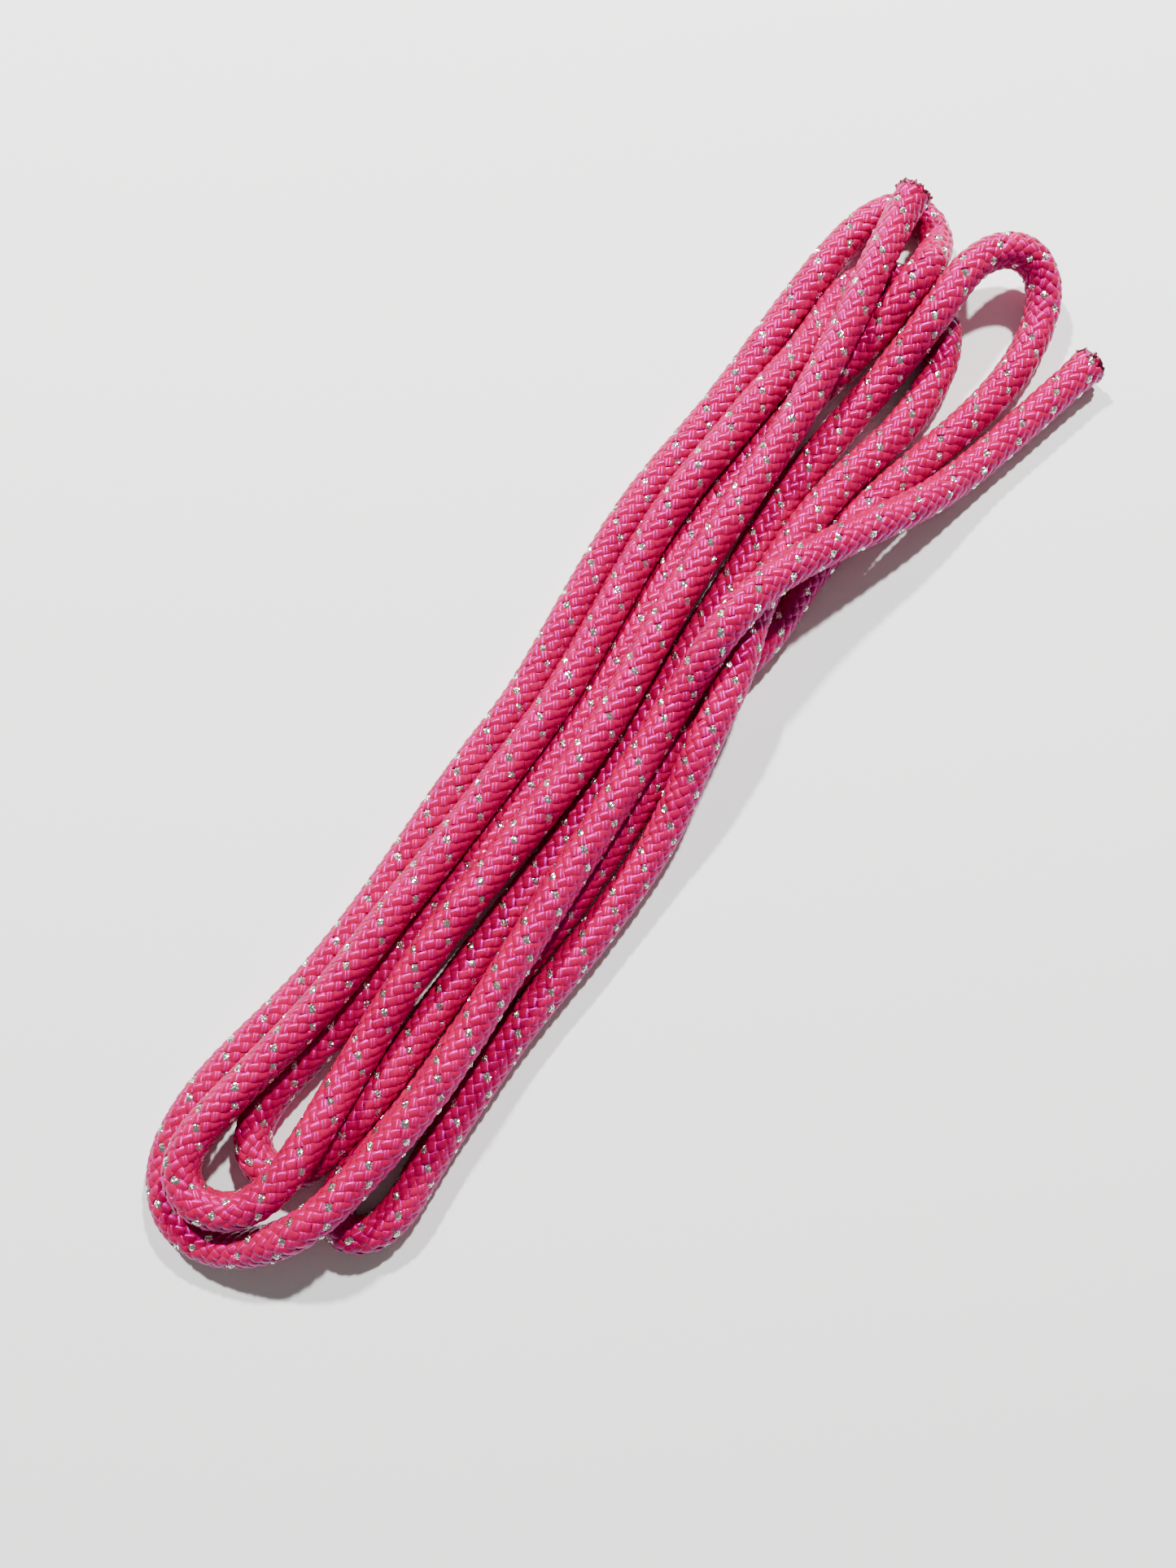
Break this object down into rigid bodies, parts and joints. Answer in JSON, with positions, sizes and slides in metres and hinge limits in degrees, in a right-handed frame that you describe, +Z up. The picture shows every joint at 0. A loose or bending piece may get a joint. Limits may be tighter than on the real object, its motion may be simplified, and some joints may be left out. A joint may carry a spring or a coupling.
{
  "type": "rhythmic gymnastics rope",
  "caption": "Braided gymnastics rope with a soft yarn core and melted ends, folded in half three times and laid down as a flat hank.",
  "frame": {"origin": "under the middle of the hank, on the surface it lies on", "axes": "+X along the hank, towards the end that both rope ends are at; +Z up, away from the surface"},
  "size_m": [0.392, 0.0977, 0.0301],
  "materials": {
    "braid": "glossy twisted filament yarn, bright pink",
    "tracer": "metallised silver yarn braided in with the pink",
    "core": "undyed matte yarn",
    "melted_end": "melted and singed yarn, dark magenta"
  },
  "bodies": {
    "root": {"braided_sleeve": "braid", "core_yarn_1": "core", "core_yarn_2": "core", "core_yarn_3": "core", "core_yarn_4": "core", "core_yarn_5": "core", "core_yarn_6": "core", "core_yarn_7": "core", "melted_end_a": "melted_end", "melted_end_b": "melted_end"}
  },
  "joints": []
}
